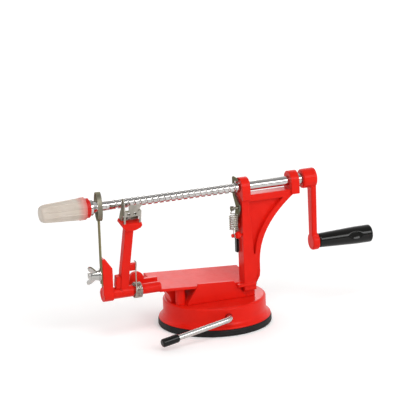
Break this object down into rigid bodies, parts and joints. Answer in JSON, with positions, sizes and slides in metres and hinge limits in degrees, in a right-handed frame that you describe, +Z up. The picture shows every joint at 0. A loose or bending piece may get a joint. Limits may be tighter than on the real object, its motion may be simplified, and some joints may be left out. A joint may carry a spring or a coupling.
{
  "type": "apple peeler",
  "caption": "Hand-cranked apple peeler, corer and slicer: red cast frame on a round suction base with a feed screw, sprung peeling arm, coring ring and slicing blade.",
  "frame": {"origin": "centre of the suction rim, on the table", "axes": "+X along the feed screw towards the crank, +Z up, -Y towards the user"},
  "size_m": [0.301, 0.1132, 0.1332],
  "materials": {
    "red_paint": "gloss enamel on a casting",
    "red_plastic": "gloss",
    "rubber": "matt",
    "chrome": "bright plate",
    "steel": "zinc plate",
    "blade_steel": "satin stainless",
    "spring_steel": "bright wire and strip",
    "black_plastic": "gloss",
    "clear_plastic": "milky, see-through"
  },
  "bodies": {
    "base": {"base_housing": "red_paint", "suction_cup": "rubber", "frame_casting": "red_paint", "frame_screws": "steel", "slicer_bracket": "red_paint", "bracket_screw": "steel", "slicer_blade": "blade_steel", "corer_ring": "blade_steel", "clamp_bolt": "steel", "clamp_washer": "steel", "arm_spring": "spring_steel", "release_pivot": "steel", "release_spring": "spring_steel"},
    "lever": {"lever_rod": "chrome", "lever_clip": "steel", "lever_tip": "black_plastic"},
    "stud": {"pull_stud": "steel"},
    "carriage": {"thrust_washer": "steel"},
    "screw": {"lead_screw": "chrome", "fork": "chrome", "crank_arm": "red_paint", "crank_pin": "chrome", "grip_bolt": "steel"},
    "cap": {"cap_collar": "red_plastic", "cap_sleeve": "clear_plastic"},
    "hand_grip": {"grip": "black_plastic"},
    "arm": {"peel_arm": "red_paint", "blade_screw": "steel"},
    "blade_head": {"blade_holder": "blade_steel", "peel_blade": "blade_steel", "blade_guard": "blade_steel"},
    "nut": {"wing_nut": "steel"},
    "catch": {"release_plate": "spring_steel", "release_tab": "black_plastic"}
  },
  "joints": [
    {"name": "suction_lever", "type": "hinge", "parent": "base", "child": "lever", "pos_m": [0, 0, 0.0165], "axis": [0.1132, 0.9936, 0], "range_deg": [0, 170]},
    {"name": "cup_lift", "type": "slide", "parent": "base", "child": "stud", "axis": [0, 0, 1], "range_m": [0, 0.003], "deforming": ["suction_cup"]},
    {"name": "shaft_feed", "type": "slide", "parent": "base", "child": "carriage", "axis": [1, 0, 0], "range_m": [0, 0.112]},
    {"name": "shaft_turn", "type": "hinge", "parent": "carriage", "child": "screw", "pos_m": [0, -0.018, 0.121], "axis": [1, 0, 0], "range_deg": [0, 7466]},
    {"name": "cap_pull", "type": "slide", "parent": "screw", "child": "cap", "axis": [-1, 0, 0], "range_m": [0, 0.06]},
    {"name": "grip_turn", "type": "hinge", "parent": "screw", "child": "hand_grip", "pos_m": [0.093, -0.018, 0.064], "axis": [1, 0, 0], "continuous": true},
    {"name": "arm_swing", "type": "hinge", "parent": "base", "child": "arm", "pos_m": [-0.09, -0.018, 0.044], "axis": [1, 0, 0], "range_deg": [0, 50], "stiffness_Nm_per_rad": 0.12, "springref_deg": -34.38, "deforming": ["arm_spring"]},
    {"name": "blade_tilt", "type": "hinge", "parent": "arm", "child": "blade_head", "pos_m": [-0.08635, -0.03075, 0.11033], "axis": [0, -0.225, 0.9744], "range_deg": [-8, 8]},
    {"name": "nut_turn", "type": "hinge", "parent": "base", "child": "nut", "pos_m": [-0.1047, -0.018, 0.0614], "axis": [0.9781, -0.2079, 0], "continuous": true},
    {"name": "catch_swing", "type": "hinge", "parent": "base", "child": "catch", "pos_m": [0.0172, -0.014, 0.088], "axis": [1, 0, 0], "range_deg": [-7, 0], "stiffness_Nm_per_rad": 0.15, "springref_deg": 14.32, "deforming": ["release_spring"]}
  ],
  "couplings": [
    {"joint": "cup_lift", "follows": "suction_lever", "m_per_rad": 0.00095493},
    {"joint": "shaft_feed", "follows": "shaft_turn", "m_per_rad": 0.00085944}
  ]
}
